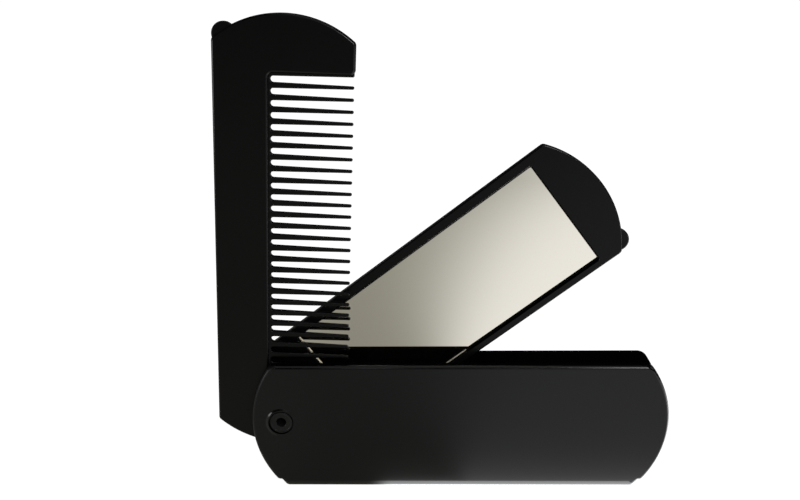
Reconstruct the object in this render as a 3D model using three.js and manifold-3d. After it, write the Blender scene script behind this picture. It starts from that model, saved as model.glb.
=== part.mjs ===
import * as THREE from 'three';
import { mergeVertices } from 'three/addons/utils/BufferGeometryUtils.js';
import Module from 'manifold-3d';

// A pocket comb and a mirror that fold into one slim case, like the blades of a pocket knife.
// Millimetres, +Z up. The case stands on its foot and its front faces -Y. The origin is on the foot,
// at the middle of the case's length and thickness. Both blades swing on one tubular rivet at the
// left end, and are drawn opened: the comb nearly upright, the mirror leaning to the right.

const wasm = await Module();
wasm.setup();

// Driving dimensions of the case
const caseLength = 108;
const caseEndRadius = 26.2;
const pivotInset = 7.6;
const frontWall = 2.8;
const rearWall = 1.8;
const floorThickness = 1.3;
const footHeight = 1.8;
const footLedge = 0.95;
const footSlope = 1.4;
const footFillet = 0.45;
const coverCornerRadius = 1.3;
const coverTopRadius = 2.9;
const coverOuterRound = 0.9;
const coverInnerBreak = 0.25;
const tongueHeight = 0.4;
const tongueDepth = 0.7;
const tongueInset = 6;

// Driving dimensions that both blades share
const bladeHalfWidth = 17;
const bladeRise = 1.2;
const bladeEdgeRound = 0.6;
const bladeCornerRadius = 1.2;
const nubRadius = 2.9;
const nubThickness = 1.5;
const nubSink = 1.1;
const nubEdgeRound = 0.35;

// Driving dimensions of the comb
const combThickness = 2.4;
const combOverhang = 2.6;
const combEndRadius = 26;
const headLength = 15.24;
const heelLength = 13.1;
const toothPitch = 2.87;
const toothLength = 20;
const rootGapWidth = 1.5;
const toothTipWidth = 0.8;
const toothTipSetback = 0.2;
const toothRootThickness = 1.5;
const toothTipThickness = 0.8;
const toothEdgeBreak = 0.22;
const toothBandLedge = 0.5;
const toothBandSink = 3;
const notchCornerRadius = 1.4;

// Driving dimensions of the mirror
const mirrorThickness = 2.7;
const mirrorOverhang = 1.6;
const mirrorEndRadius = 27;
const glassStart = 16.3;
const glassEndMargin = 11.5;
const glassSideMargin = 2.55;
const glassThickness = 1.2;
const glassRecess = 0.2;
const glassCornerRadius = 0.5;
const glassEdgeBreak = 0.15;
const padThickness = 0.3;
const padInset = 1.5;

// Driving dimensions of the pivot
const rivetBoreRadius = 1.25;
const rivetShankRadius = 2;
const rivetFlangeRadius = 3;
const rivetHeadCrest = 2.2;
const rivetHeadHeight = 0.8;
const rivetTailRadius = 3.1;
const rivetTailCrest = 2.2;
const rivetTailHeight = 0.55;
const rivetSink = 0.05;
const dishRimRadius = 4.3;
const backingRadius = 4.2;
const backingThickness = 0.4;
const frictionRadius = 6;

// Clearances
const floorClearance = 0.25;
const layerGap = 0.5;
const washerPlay = 0.05;
const pivotClearance = 0.1;
const washerClearance = 0.15;
const seatClearance = 0.15;
const glassClearance = 0.3;
const tongueClearance = 0.1;

// How far the blades are swung out of the case, in degrees
const combOpening = 87.2;
const mirrorOpening = 37;

// How finely the curves are cut, and how far a cutter runs past what it cuts
const endArcSteps = 22;
const cornerSteps = 4;
const roundSteps = 3;
const rootSteps = 5;
const tipSteps = 4;
const rollSteps = 6;
const turnSteps = 40;
const overlap = 1;

// Layers of the stack, from the front face to the rear face
const caseThickness = frontWall + combThickness + mirrorThickness + rearWall + 3 * layerGap;
const frontFace = -caseThickness / 2;
const frontInner = frontFace + frontWall;
const combFront = frontInner + layerGap;
const combMiddle = combFront + combThickness / 2;
const combBack = combFront + combThickness;
const mirrorFront = combBack + layerGap;
const glassFront = mirrorFront + glassRecess;
const glassBack = glassFront + glassThickness;
const padBack = glassBack + padThickness;
const mirrorBack = mirrorFront + mirrorThickness;
const rearInner = mirrorBack + layerGap;
const rearFace = rearInner + rearWall;

// Faces that the rivet's two ends bear on
const flangeSeat = frontFace + rivetSink + rivetHeadHeight;
const tailSeat = rearFace - rivetSink - rivetTailHeight;
const backingSeat = tailSeat - backingThickness;

// Places on the case that follow from the driving dimensions
const caseHalf = caseLength / 2;
const pivotX = -caseHalf + pivotInset;
const pivotZ = floorThickness + floorClearance + bladeHalfWidth;
const topAbovePivot = bladeHalfWidth - bladeRise;
const endCentre = caseHalf - caseEndRadius;
const endUp = Math.asin(topAbovePivot / caseEndRadius);
const endDown = Math.asin((pivotZ - footHeight) / caseEndRadius);
const ledgeHalf = endCentre + caseEndRadius * Math.cos(endDown) - footLedge;
const footHalf = ledgeHalf - footSlope;

// Places on the blades, measured from the pivot along the blade and across it
const combReach = caseLength - pivotInset + combOverhang;
const mirrorReach = caseLength - pivotInset + mirrorOverhang;
const nubOffset = bladeHalfWidth - nubRadius;
const lastGap = combReach - headLength;
const toothPitches = Math.floor((lastGap - heelLength) / toothPitch);
const firstGap = lastGap - toothPitch * toothPitches;
const gapTipHalf = (toothPitch - toothTipWidth) / 2;
const tipLine = -(bladeHalfWidth - toothTipSetback);
const rootLine = tipLine + toothLength;
const bandStart = firstGap - gapTipHalf - toothBandLedge;
const bandEnd = lastGap + gapTipHalf + toothBandLedge;
const bandLine = rootLine + toothBandLedge;

// A corner of an outline, with the radius that rounds it
function corner(x, z, radius = 0) {
  return { x, z, radius };
}

// Points of an arc, both ends included, whose two end corners may be rounded
function arc(centreX, centreZ, radius, fromAngle, toAngle, steps, startRound = 0, endRound = startRound) {
  const points = [];
  for (let i = 0; i <= steps; i++) {
    const angle = fromAngle + ((toAngle - fromAngle) * i) / steps;
    points.push(corner(centreX + radius * Math.cos(angle), centreZ + radius * Math.sin(angle)));
  }
  points[0].radius = startRound;
  points[steps].radius = endRound;
  return points;
}

// An outline whose corners with a radius become tangent arcs
function outline(corners) {
  const points = [];
  corners.forEach((here, i) => {
    const at = new THREE.Vector2(here.x, here.z);
    if (here.radius === 0) {
      points.push(at);
      return;
    }
    const before = corners.at(i - 1);
    const after = corners[(i + 1) % corners.length];
    const back = new THREE.Vector2(before.x, before.z).sub(at).normalize();
    const ahead = new THREE.Vector2(after.x, after.z).sub(at).normalize();
    const halfAngle = Math.acos(back.dot(ahead)) / 2;
    const reach = here.radius / Math.tan(halfAngle);
    const middle = back.clone().add(ahead).setLength(here.radius / Math.sin(halfAngle)).add(at);
    const start = back.multiplyScalar(reach).add(at).sub(middle);
    const end = ahead.multiplyScalar(reach).add(at).sub(middle);
    const turn = Math.atan2(start.cross(end), start.dot(end));
    for (let step = 0; step <= cornerSteps; step++) {
      const spoke = start.clone().rotateAround(new THREE.Vector2(), (turn * step) / cornerSteps);
      points.push(spoke.add(middle));
    }
  });
  return points;
}

// The same outline drawn in, each point along the mitre of its two edges
function inset(points, distance) {
  return points.map((at, i) => {
    const into = at.clone().sub(points.at(i - 1)).normalize();
    const out = points[(i + 1) % points.length].clone().sub(at).normalize();
    const mitre = new THREE.Vector2(-into.y - out.y, into.x + out.x).divideScalar(1 + into.dot(out));
    return at.clone().addScaledVector(mitre, distance);
  });
}

// Rings of a rounded edge, from the face at y to the plate's side, inwards along Y by the sign given
function roundedEdge(y, radius, sign) {
  const rings = [];
  for (let i = 0; i <= roundSteps; i++) {
    const angle = ((Math.PI / 2) * i) / roundSteps;
    rings.push({ inset: radius * (1 - Math.sin(angle)), y: y + sign * radius * (1 - Math.cos(angle)) });
  }
  return rings;
}

// Rings of an edge that is only broken
function brokenEdge(y, size, sign) {
  return [{ inset: size, y }, { inset: 0, y: y + sign * size }];
}

// A plate: one copy of the outline for each ring, joined by walls and closed by two caps
function plate(points, rings) {
  const count = points.length;
  const contours = rings.map((ring) => inset(points, ring.inset));
  const positions = contours.flatMap((contour, i) => contour.flatMap((at) => [at.x, rings[i].y, at.y]));
  const index = [];
  const last = (rings.length - 1) * count;
  for (const [a, b, c] of THREE.ShapeUtils.triangulateShape(contours[0], [])) {
    index.push(a, b, c);
  }
  for (const [a, b, c] of THREE.ShapeUtils.triangulateShape(contours.at(-1), [])) {
    index.push(last + a, last + c, last + b);
  }
  for (let start = 0; start < last; start += count) {
    for (let i = 0; i < count; i++) {
      const a = start + i;
      const b = start + ((i + 1) % count);
      index.push(a, a + count, b, b, a + count, b + count);
    }
  }
  const geometry = new THREE.BufferGeometry();
  geometry.setAttribute('position', new THREE.Float32BufferAttribute(positions, 3));
  geometry.setIndex(index);
  return solid(geometry);
}

// A closed three.js geometry as a solid that can be joined and cut
function solid(geometry) {
  geometry.deleteAttribute('normal');
  geometry.deleteAttribute('uv');
  const merged = mergeVertices(geometry, 1e-5);
  const triangles = [];
  for (let i = 0; i < merged.index.count; i += 3) {
    const [a, b, c] = merged.index.array.slice(i, i + 3);
    if (a !== b && b !== c && c !== a) {
      triangles.push(a, b, c);
    }
  }
  return new wasm.Manifold(new wasm.Mesh({
    numProp: 3,
    vertProperties: new Float32Array(merged.attributes.position.array),
    triVerts: new Uint32Array(triangles),
  }));
}

// A box between two corners
function block(low, high) {
  const size = high.clone().sub(low);
  const middle = low.clone().add(high).multiplyScalar(0.5);
  return solid(new THREE.BoxGeometry(size.x, size.y, size.z).translate(middle.x, middle.y, middle.z));
}

// A body turned about a line along Y, from a closed profile of [radius, y] points
function turned(profile, x, z) {
  const points = profile.map(([radius, y]) => new THREE.Vector2(radius, y));
  if (profile[0][0] > 0) {
    points.push(points[0].clone());
  }
  return solid(new THREE.LatheGeometry(points, turnSteps).translate(x, 0, z));
}

// A round bar along Y
function bar(radius, low, high, x = 0, z = 0) {
  return turned([[0, low], [radius, low], [radius, high], [0, high]], x, z);
}

// A flat washer round the rivet's shank
function washer(outer, low, high) {
  const inner = rivetShankRadius + washerClearance;
  return turned([[inner, low], [outer, low], [outer, high], [inner, high]], pivotX, pivotZ);
}

// A solid as a named mesh
function part(name, body, color, roughness, metalness = 0) {
  const { vertProperties, triVerts } = body.getMesh();
  const geometry = new THREE.BufferGeometry();
  geometry.setAttribute('position', new THREE.BufferAttribute(vertProperties, 3));
  geometry.setIndex(new THREE.BufferAttribute(triVerts, 1));
  const material = new THREE.MeshStandardMaterial({ color, roughness, metalness, flatShading: true });
  const mesh = new THREE.Mesh(geometry, material);
  mesh.name = name;
  return mesh;
}

// Side view of a cover: a straight top, shallow round ends, and a foot that stands below them
function coverOutline() {
  const radius = caseEndRadius;
  const low = coverCornerRadius;
  const high = coverTopRadius;
  return outline([
    corner(-footHalf, 0, low),
    corner(footHalf, 0, low),
    corner(ledgeHalf, footHeight, footFillet),
    ...arc(endCentre, pivotZ, radius, -endDown, endUp, endArcSteps, low, high),
    ...arc(-endCentre, pivotZ, radius, Math.PI - endUp, Math.PI + endDown, endArcSteps, high, low),
    corner(-ledgeHalf, footHeight, footFillet),
  ]);
}

// Side view of the floor, whose sloped ends follow the foot's
function floorOutline() {
  const end = footHalf + (footSlope * floorThickness) / footHeight;
  return outline([
    corner(-footHalf, 0, coverCornerRadius),
    corner(footHalf, 0, coverCornerRadius),
    corner(end, floorThickness),
    corner(-end, floorThickness),
  ]);
}

// A rib along the floor's front edge, or the groove that takes it when it is grown by a clearance
function tongue(grow) {
  const reach = footHalf - tongueInset + grow;
  const bottom = (floorThickness - tongueHeight) / 2 - grow;
  return block(
    new THREE.Vector3(-reach, frontInner - tongueDepth - grow, bottom),
    new THREE.Vector3(reach, frontInner + overlap, bottom + tongueHeight + 2 * grow),
  );
}

// The front cover is a plate with a dished seat for the rivet's flange
function frontCover() {
  const seatRadius = rivetFlangeRadius + seatClearance;
  const dish = turned([
    [0, frontFace - overlap],
    [dishRimRadius, frontFace - overlap],
    [dishRimRadius, frontFace],
    [seatRadius, flangeSeat],
    [0, flangeSeat],
  ], pivotX, pivotZ);
  const hole = bar(rivetShankRadius + pivotClearance, frontFace, frontInner + overlap, pivotX, pivotZ);
  const slab = plate(coverOutline(), [
    ...roundedEdge(frontFace, coverOuterRound, 1),
    ...brokenEdge(frontInner, coverInnerBreak, -1).reverse(),
  ]);
  const body = slab.subtract(dish).subtract(hole).subtract(tongue(tongueClearance));
  return part('front_cover', body, 0x141414, 0.42);
}

// The rear cover carries the floor, whose front edge is tongued into the front cover
function rearCover() {
  const seatRadius = backingRadius + seatClearance;
  const counterbore = bar(seatRadius, backingSeat, rearFace + overlap, pivotX, pivotZ);
  const hole = bar(rivetShankRadius + pivotClearance, rearInner - overlap, rearFace, pivotX, pivotZ);
  const slab = plate(coverOutline(), [
    ...brokenEdge(rearInner, coverInnerBreak, 1),
    ...roundedEdge(rearFace, coverOuterRound, -1).reverse(),
  ]);
  const floor = plate(floorOutline(), [
    { inset: 0, y: frontInner },
    { inset: 0, y: rearInner + coverInnerBreak },
  ]);
  const body = slab.add(floor).add(tongue(0)).subtract(counterbore).subtract(hole);
  return part('rear_cover', body, 0x141414, 0.42);
}

// Corners of a blade: straight sides between a far end and a heel, both shallow arcs
function bladeCorners(reach, endRadius) {
  const half = Math.asin(bladeHalfWidth / endRadius);
  const far = reach - endRadius;
  const near = endRadius - pivotInset;
  return [
    ...arc(far, 0, endRadius, -half, half, endArcSteps, bladeCornerRadius),
    ...arc(near, 0, endRadius, Math.PI - half, Math.PI + half, endArcSteps, bladeCornerRadius),
  ];
}

// Rings of a blade that fills its layer, with both long edges rounded
function bladeRings(front, back) {
  return [...roundedEdge(front, bladeEdgeRound, 1), ...roundedEdge(back, bladeEdgeRound, -1).reverse()];
}

// The thumb nub on a blade's far arc, sunk into it and flush with the long side given by its sign
function nub(reach, endRadius, side, middle) {
  const centre = reach - endRadius + Math.sqrt(endRadius ** 2 - nubOffset ** 2) - nubSink;
  const round = 2 * Math.PI;
  const points = outline(arc(centre, side * nubOffset, nubRadius, round / turnSteps, round, turnSteps - 1));
  return plate(points, [
    ...roundedEdge(middle - nubThickness / 2, nubEdgeRound, 1),
    ...roundedEdge(middle + nubThickness / 2, nubEdgeRound, -1).reverse(),
  ]);
}

// Side view of the band of teeth: each gap has a round root and each tooth a round tip
function toothedOutline() {
  const rootHalf = rootGapWidth / 2;
  const tipRadius = toothTipWidth / 2;
  const corners = [
    corner(bandStart - toothBandSink, tipLine),
    corner(firstGap - gapTipHalf, tipLine, tipRadius),
  ];
  for (let i = 0; i <= toothPitches; i++) {
    const gap = firstGap + i * toothPitch;
    const tooth = gap + toothPitch / 2;
    corners.push(...arc(gap, rootLine - rootHalf, rootHalf, Math.PI, 0, rootSteps));
    if (i < toothPitches) {
      corners.push(...arc(tooth, tipLine + tipRadius, tipRadius, Math.PI, 2 * Math.PI, tipSteps));
    }
  }
  corners.push(
    corner(lastGap + gapTipHalf, tipLine, tipRadius),
    corner(bandEnd + toothBandSink, tipLine),
    corner(bandEnd + toothBandSink, bandLine + toothBandSink),
    corner(bandStart - toothBandSink, bandLine + toothBandSink),
  );
  return outline(corners);
}

// Side view of the comb's thick back with its heel and head, open where the band of teeth is
function backOutline() {
  return outline([
    ...bladeCorners(combReach, combEndRadius),
    corner(bandStart, -bladeHalfWidth, bladeCornerRadius),
    corner(bandStart, bandLine, notchCornerRadius),
    corner(bandEnd, bandLine, notchCornerRadius),
    corner(bandEnd, -bladeHalfWidth, bladeCornerRadius),
  ]);
}

// A slab that leans towards the teeth's tips, to thin them on the front (-1) or the back (1)
function taperCutter(side) {
  const length = rootLine - tipLine;
  const lean = Math.atan2((toothRootThickness - toothTipThickness) / 2, length);
  const slab = new THREE.BoxGeometry(bandEnd - bandStart + toothBandSink, combThickness, 2 * length);
  slab.translate((bandStart + bandEnd) / 2, (side * combThickness) / 2, -length);
  slab.rotateX(-side * lean);
  slab.translate(0, combMiddle + (side * toothRootThickness) / 2, rootLine);
  return solid(slab);
}

// The comb: a thick back with its heel and head, a thinner band of tapered teeth, and a thumb nub
function comb() {
  const band = plate(toothedOutline(), [
    ...brokenEdge(combMiddle - toothRootThickness / 2, toothEdgeBreak, 1),
    ...brokenEdge(combMiddle + toothRootThickness / 2, toothEdgeBreak, -1).reverse(),
  ]);
  const teeth = band.subtract(taperCutter(-1)).subtract(taperCutter(1));
  const back = plate(backOutline(), bladeRings(combFront, combBack));
  const hole = bar(rivetShankRadius + pivotClearance, combFront - overlap, combBack + overlap);
  const grip = nub(combReach, combEndRadius, 1, combMiddle);
  const body = back.add(teeth).add(grip).subtract(hole);
  return part('comb', body, 0x101010, 0.5);
}

// A rectangle in the mirror's plane round the glass, grown or drawn in on every side
function glassOutline(grow) {
  const half = bladeHalfWidth - glassSideMargin + grow;
  const start = glassStart - grow;
  const end = mirrorReach - glassEndMargin + grow;
  const radius = glassCornerRadius + Math.max(grow, 0);
  return outline([
    corner(start, -half, radius),
    corner(end, -half, radius),
    corner(end, half, radius),
    corner(start, half, radius),
  ]);
}

// The mirror's tray, with a pocket for the glass in its front face
function mirrorFrame() {
  const middle = (mirrorFront + mirrorBack) / 2;
  const corners = bladeCorners(mirrorReach, mirrorEndRadius);
  const tray = plate(outline(corners), bladeRings(mirrorFront, mirrorBack));
  const pocket = plate(glassOutline(glassClearance), [
    { inset: 0, y: mirrorFront - overlap },
    { inset: 0, y: padBack },
  ]);
  const hole = bar(rivetShankRadius + pivotClearance, mirrorFront - overlap, mirrorBack + overlap);
  const grip = nub(mirrorReach, mirrorEndRadius, -1, middle);
  const body = tray.add(grip).subtract(pocket).subtract(hole);
  return part('mirror_frame', body, 0x101010, 0.5);
}

// The mirror glass, with its edges broken
function mirrorGlass() {
  const body = plate(glassOutline(0), [
    ...brokenEdge(glassFront, glassEdgeBreak, 1),
    ...brokenEdge(glassBack, glassEdgeBreak, -1).reverse(),
  ]);
  return part('mirror_glass', body, 0xd8d4c6, 0.04, 1);
}

// The double-sided foam pad that holds the glass in its pocket
function mirrorPad() {
  const body = plate(glassOutline(-padInset), [
    { inset: 0, y: glassBack },
    { inset: 0, y: padBack },
  ]);
  return part('mirror_adhesive_pad', body, 0xd9d9d2, 0.9);
}

// Profile of a rolled rim from the bore out to its edge, highest at the crest and rising along Y
function roll(crest, outer, seat, rise) {
  const points = [];
  for (let i = 0; i <= rollSteps; i++) {
    const angle = (Math.PI * i) / rollSteps;
    const reach = i * 2 < rollSteps ? crest - rivetBoreRadius : outer - crest;
    points.push([crest - reach * Math.cos(angle), seat + rise * Math.sin(angle)]);
  }
  return points;
}

// The tubular rivet: a rolled flange in front, a hollow shank, and a tail rolled out behind
function pivotRivet() {
  const body = turned([
    ...roll(rivetHeadCrest, rivetFlangeRadius, flangeSeat, -rivetHeadHeight),
    [rivetShankRadius, flangeSeat],
    [rivetShankRadius, tailSeat],
    ...roll(rivetTailCrest, rivetTailRadius, tailSeat, rivetTailHeight).reverse(),
  ], pivotX, pivotZ);
  return part('pivot_rivet', body, 0x0c0c0c, 0.35, 0.6);
}

// A washer under the rivet's tail, which keeps it from cutting into the rear cover
function backingWasher() {
  return part('rivet_backing_washer', washer(backingRadius, backingSeat, tailSeat), 0x1c1c1c, 0.4, 0.7);
}

// A slippery washer in the gap behind a layer, which spaces the blades and gives them their drag
function frictionWasher(name, layerBack) {
  const body = washer(frictionRadius, layerBack + washerPlay, layerBack + layerGap - washerPlay);
  return part(name, body, 0x2a2a2a, 0.6);
}

// A blade's group: its own origin is on the pivot's line and its +X runs along the blade
function blade(openingDegrees, ...meshes) {
  const group = new THREE.Group();
  group.position.set(pivotX, 0, pivotZ);
  group.rotation.y = -THREE.MathUtils.degToRad(openingDegrees);
  group.add(...meshes);
  return group;
}

const pocketComb = new THREE.Group();
pocketComb.add(
  frontCover(),
  rearCover(),
  pivotRivet(),
  backingWasher(),
  frictionWasher('front_friction_washer', frontInner),
  frictionWasher('middle_friction_washer', combBack),
  frictionWasher('rear_friction_washer', mirrorBack),
  blade(combOpening, comb()),
  blade(mirrorOpening, mirrorFrame(), mirrorGlass(), mirrorPad()),
);

export default pocketComb;
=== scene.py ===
"""A pocket comb and mirror that fold into one slim case, dressed for a studio picture.

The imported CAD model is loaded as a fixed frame. Each class below remodels one sub-assembly more
finely at the same sizes, gives it its finish and lets it ride on its body. Sizes are in millimetres
and become metres when a mesh is placed. The row frame has +Z up and the case's front facing -Y.
"""
import logging
import math
from dataclasses import dataclass, field
from enum import Enum
from typing import Any, Callable, Sequence

import bmesh
import bpy
from mathutils import Matrix, Vector


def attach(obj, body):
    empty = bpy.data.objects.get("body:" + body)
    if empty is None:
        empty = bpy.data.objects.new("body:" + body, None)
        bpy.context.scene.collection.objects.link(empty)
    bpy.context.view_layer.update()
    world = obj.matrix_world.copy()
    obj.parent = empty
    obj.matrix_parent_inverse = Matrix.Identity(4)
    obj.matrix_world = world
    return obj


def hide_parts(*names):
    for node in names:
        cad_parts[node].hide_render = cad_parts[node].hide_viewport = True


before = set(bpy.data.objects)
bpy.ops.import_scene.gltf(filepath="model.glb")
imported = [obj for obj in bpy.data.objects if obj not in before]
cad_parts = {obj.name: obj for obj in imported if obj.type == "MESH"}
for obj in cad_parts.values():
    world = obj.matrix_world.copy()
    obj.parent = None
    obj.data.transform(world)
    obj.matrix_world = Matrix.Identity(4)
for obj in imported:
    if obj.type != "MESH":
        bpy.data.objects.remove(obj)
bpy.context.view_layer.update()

LOG = logging.getLogger("pocket_comb")
MM = 0.001
SHARP_ANGLE = math.radians(32)  # An edge that turns further stays sharp.
DOUBLE_LIMIT = 1e-7  # Points of a finished mesh that lie closer, in metres, are one.
FLAT_LIMIT = 0.993  # A face whose normal's Y lies past it is a flat front or back.
ANY_WAY = 2.0  # No part of a unit normal reaches it.
OVERLAP = 1.0  # How far a cutter runs past what it cuts.
CORNER_STEPS = 10
ROUND_STEPS = 8
SMALL_ROUND_STEPS = 5
TURN_STEPS = 96

Pair = tuple[float, float]
Triple = tuple[float, float, float]
Colour = Triple
Share = Callable[[Vector], float]
Box = tuple[Vector, Vector]
Material = bpy.types.Material
Mesh = bpy.types.Mesh
WHITE: Colour = (1.0, 1.0, 1.0)


class Ride(Enum):
    """The bodies of the frame that the pieces ride on."""

    CASE = "case"
    COMB = "comb"
    MIRROR = "mirror"


class Side(Enum):
    """Whether a plate's face is its front or its back."""

    FRONT = -1
    BACK = 1


# Meshes


@dataclass(frozen=True)
class Corner:
    """A corner of an outline in the X-Z plane, with the radius that rounds it."""

    x: float
    z: float
    radius: float = 0.0


def arc(
    centre: Vector, radius: float, start: float, end: float, steps: int, rounds: Pair = (0.0, 0.0)
) -> list[Corner]:
    """Corners along an arc, both ends included.

    Args:
        centre: The arc's centre as a two-dimensional vector.
        radius: The arc's radius.
        start: The angle of the first corner, in radians.
        end: The angle of the last corner, in radians.
        steps: How many straight steps the arc is cut into.
        rounds: The radii that round the first and the last corner.

    Returns:
        The corners in order.
    """
    corners = []
    for i in range(steps + 1):
        angle = start + (end - start) * i / steps
        x, z = centre.x + radius * math.cos(angle), centre.y + radius * math.sin(angle)
        corners.append(Corner(x, z, {0: rounds[0], steps: rounds[1]}.get(i, 0.0)))
    return corners


def outline(corners: Sequence[Corner], steps: int = CORNER_STEPS) -> list[Vector]:
    """A closed outline whose corners with a radius become tangent arcs.

    Args:
        corners: The corners, anticlockwise as seen from the front.
        steps: How many straight steps each rounded corner is cut into.

    Returns:
        The outline's points.
    """
    points = []
    for i, here in enumerate(corners):
        at = Vector((here.x, here.z))
        if here.radius == 0:
            points.append(at)
            continue
        before, after = corners[i - 1], corners[(i + 1) % len(corners)]
        back = (Vector((before.x, before.z)) - at).normalized()
        ahead = (Vector((after.x, after.z)) - at).normalized()
        half = math.acos(back.dot(ahead)) / 2
        reach = here.radius / math.tan(half)
        middle = at + (back + ahead).normalized() * (here.radius / math.sin(half))
        first, last = at + back * reach - middle, at + ahead * reach - middle
        turn = math.atan2(first.x * last.y - first.y * last.x, first.dot(last))
        points += [middle + Matrix.Rotation(turn * step / steps, 2) @ first for step in range(steps + 1)]
    return points


def inset(points: Sequence[Vector], distance: float, share: Share | None = None) -> list[Vector]:
    """The same outline drawn in, each point along the mitre of its two edges.

    Args:
        points: The closed outline.
        distance: How far it is drawn in; a negative distance grows it.
        share: Gives the factor on the distance at a point; left out, it is 1 everywhere.

    Returns:
        The new outline, with as many points.
    """
    moved = []
    for i, at in enumerate(points):
        into = (at - points[i - 1]).normalized()
        out = (points[(i + 1) % len(points)] - at).normalized()
        mitre = Vector((-into.y - out.y, into.x + out.x)) / (1 + into.dot(out))
        moved.append(at + mitre * distance * (share(at) if share else 1.0))
    return moved


def quarter(steps: int) -> list[Pair]:
    """The sine and cosine over a quarter turn, both ends included."""
    angles = [math.pi / 2 * i / steps for i in range(steps + 1)]
    return [(math.sin(angle), math.cos(angle)) for angle in angles]


def rounded_edge(y: float, radius: float, side: Side, steps: int = ROUND_STEPS) -> list[Pair]:
    """Rings of a rounded edge, in order from front to back.

    Args:
        y: Where the face lies.
        radius: The edge's radius.
        side: Whether the face is the plate's front or back.
        steps: How many straight steps the round is cut into.

    Returns:
        Pairs of how far the outline is drawn in and where the ring lies.
    """
    rings = [(radius * (1 - sine), y - side.value * radius * (1 - cosine)) for sine, cosine in quarter(steps)]
    return rings if side is Side.FRONT else rings[::-1]


def linked(name: str, data: bpy.types.ID) -> bpy.types.Object:
    """A new object in the scene, which holds a mesh, a lamp or a lens."""
    made = bpy.data.objects.new(name, data)
    bpy.context.scene.collection.objects.link(made)
    return made


def plain_mesh(holder: bpy.types.Object) -> Mesh:
    """A plain mesh of an object as its modifiers leave it."""
    graph = bpy.context.evaluated_depsgraph_get()
    return bpy.data.meshes.new_from_object(holder.evaluated_get(graph))


class Body:
    """A closed body in millimetres, which can be joined with others and cut by them."""

    def __init__(self, mesh: Mesh) -> None:
        """Takes over a mesh in millimetres."""
        self.mesh = mesh

    @classmethod
    def lofted(cls, rows: Sequence[Sequence[Sequence[float]]]) -> "Body":
        """A body skinned over closed rows of points and capped at both ends.

        Args:
            rows: Rows of equally many points, from front to back, anticlockwise as seen from the front.

        Returns:
            The closed body.
        """
        count = len(rows[0])
        last = (len(rows) - 1) * count
        faces: list[Sequence[int]] = [range(count), range(last + count - 1, last - 1, -1)]
        for start in range(0, last, count):
            for i in range(count):
                a, b = start + i, start + (i + 1) % count
                faces.append((a, a + count, b + count, b))
        mesh = bpy.data.meshes.new("body")
        mesh.from_pydata([tuple(p) for row in rows for p in row], [], [tuple(f) for f in faces])
        mesh.validate()
        return cls(mesh)

    @classmethod
    def plate(cls, points: Sequence[Vector], rings: Sequence[Pair], share: Share | None = None) -> "Body":
        """A plate with one copy of the outline for each ring.

        Args:
            points: The outline, anticlockwise as seen from the front.
            rings: Pairs of how far the outline is drawn in and where it lies, from front to back.
            share: Gives the factor on how far a point is drawn in.

        Returns:
            The closed plate.
        """
        return cls.lofted([[(p.x, y, p.y) for p in inset(points, draw, share)] for draw, y in rings])

    @classmethod
    def turned(cls, profile: Sequence[Pair], steps: int = TURN_STEPS) -> "Body":
        """A body turned about the Y axis.

        Args:
            profile: Pairs of radius and Y, round the section. Radius 0 may stand at both ends.
            steps: How many straight steps the turn is cut into.

        Returns:
            The closed body.
        """
        form = bmesh.new()
        turns = [2 * math.pi * i / steps for i in range(steps)]
        rows = []
        for radius, y in profile:
            angles = turns if radius > 0 else turns[:1]
            rows.append([form.verts.new((radius * math.cos(t), y, radius * math.sin(t))) for t in angles])
        if profile[0][0] > 0:
            rows.append(rows[0])
        for low, high in zip(rows, rows[1:]):
            for i in range(steps):
                j = i + 1
                loop = [low[i % len(low)], high[i % len(high)], high[j % len(high)], low[j % len(low)]]
                form.faces.new(list(dict.fromkeys(loop)))
        bmesh.ops.recalc_face_normals(form, faces=form.faces)
        mesh = bpy.data.meshes.new("turned")
        form.to_mesh(mesh)
        form.free()
        return cls(mesh)

    @classmethod
    def bar(cls, radius: float, low: float, high: float) -> "Body":
        """A round bar along the Y axis."""
        return cls.turned([(0, low), (radius, low), (radius, high), (0, high)])

    @classmethod
    def block(cls, low: Sequence[float], high: Sequence[float]) -> "Body":
        """A box between two corners."""
        (left, front, bottom), (right, back, top) = low, high
        square = [Vector(p) for p in ((left, bottom), (right, bottom), (right, top), (left, top))]
        return cls.plate(square, [(0, front), (0, back)])

    def moved(self, matrix: Matrix) -> "Body":
        """The same body after a move or a turn."""
        self.mesh.transform(matrix)
        return self

    def join(self, other: "Body") -> "Body":
        """This body and another as one."""
        return self._combine(other, "UNION")

    def cut(self, other: "Body") -> "Body":
        """This body without what another takes away."""
        return self._combine(other, "DIFFERENCE")

    def _combine(self, other: "Body", operation: str) -> "Body":
        """This body after a Boolean operation with another, which is used up."""
        base, tool = linked("base", self.mesh), linked("tool", other.mesh)
        change = base.modifiers.new("combine", "BOOLEAN")
        change.object = tool
        change.operation = operation
        change.solver = "EXACT"
        result = plain_mesh(base)
        for part in (base, tool):
            bpy.data.objects.remove(part)
        return Body(result)


@dataclass(frozen=True)
class Region:
    """Faces with a finish of their own, chosen by the way they look and by where they lie.

    The Y of a face's normal lies between low and high, and its Z above up. The box, where there is one,
    holds the face's middle and is in millimetres.
    """

    finish: Material
    low: float = -ANY_WAY
    high: float = ANY_WAY
    up: float = -ANY_WAY
    box: Box | None = None

    def holds(self, face: bpy.types.MeshPolygon) -> bool:
        """Whether a face of a piece, in metres, belongs to the region."""
        if not (self.low < face.normal.y < self.high and face.normal.z > self.up):
            return False
        return not self.box or all(a <= c / MM <= b for a, c, b in zip(self.box[0], face.center, self.box[1]))


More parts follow.
